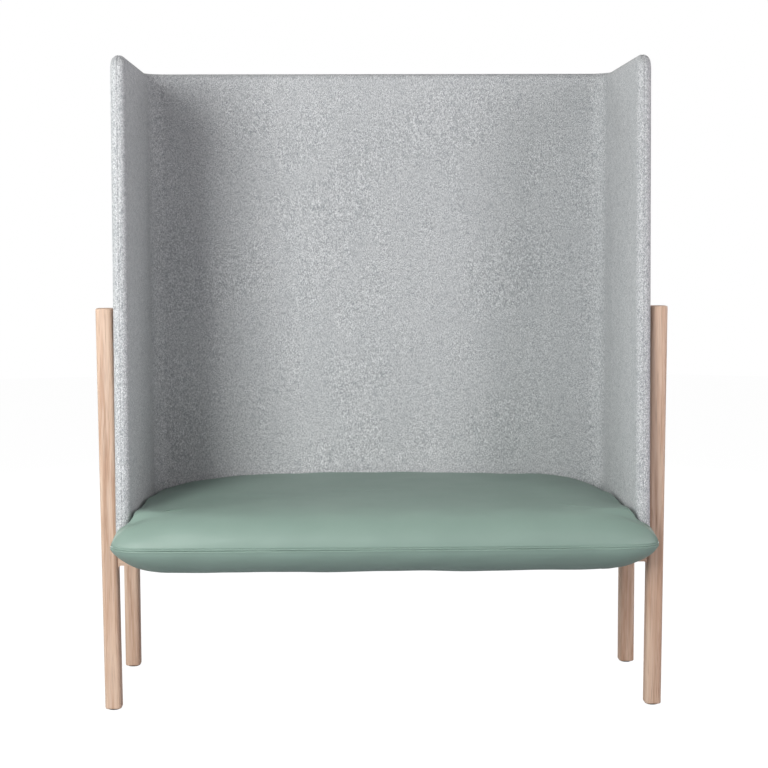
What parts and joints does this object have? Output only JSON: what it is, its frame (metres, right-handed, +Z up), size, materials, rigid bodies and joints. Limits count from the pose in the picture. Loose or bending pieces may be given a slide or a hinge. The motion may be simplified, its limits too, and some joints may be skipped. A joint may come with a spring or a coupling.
{
  "type": "acoustic high back lounge chair",
  "caption": "Two-seat-wide lounge chair with a tall U-shaped felt shell, a deep leather-covered seat and timber posts at its corners.",
  "frame": {"origin": "on the floor, under the middle of the whole chair's width and depth", "axes": "+Z up; -Y is the way the sitter faces, so the open front is at -Y and the back at +Y; +X is to the right as the chair is seen from the front"},
  "size_m": [1.25, 0.623, 1.438],
  "materials": {
    "oak": "limed oak, matt oil",
    "dowel_beech": "fluted beech",
    "zinc_steel": "zinc plated",
    "birch_ply": "raw plywood",
    "cut_foam": "cut foam",
    "sage_leather": "fine grain, semi-matt, grey green",
    "grey_felt": "wool felt, light grey",
    "dust_cloth": "non-woven cloth",
    "glide_plastic": "moulded, matt"
  },
  "bodies": {
    "root": {"front_left_post": "oak", "front_right_post": "oak", "rear_left_post": "oak", "rear_right_post": "oak", "post_glides": "glide_plastic", "left_side_rail": "oak", "right_side_rail": "oak", "side_rail_dowels": "dowel_beech", "front_cross_rail": "oak", "rear_cross_rail": "oak", "cross_rail_dowels": "dowel_beech", "cross_rail_bolts": "zinc_steel", "barrel_nuts": "zinc_steel", "centre_bearer": "oak", "bearer_screws": "zinc_steel", "seat_board": "birch_ply", "seat_bolts": "zinc_steel", "seat_t_nuts": "zinc_steel", "seat_foam": "cut_foam", "seat_lip_foam": "cut_foam", "seat_top_cover": "sage_leather", "seat_bottom_cover": "sage_leather", "seat_dust_cover": "dust_cloth", "shell_core": "birch_ply", "back_foam": "cut_foam", "left_wing_foam": "cut_foam", "right_wing_foam": "cut_foam", "inner_felt_cover": "grey_felt", "outer_felt_cover": "grey_felt", "shell_bolts": "zinc_steel", "shell_sleeves": "zinc_steel", "shell_t_nuts": "zinc_steel", "bolt_plugs": "oak"}
  },
  "joints": []
}
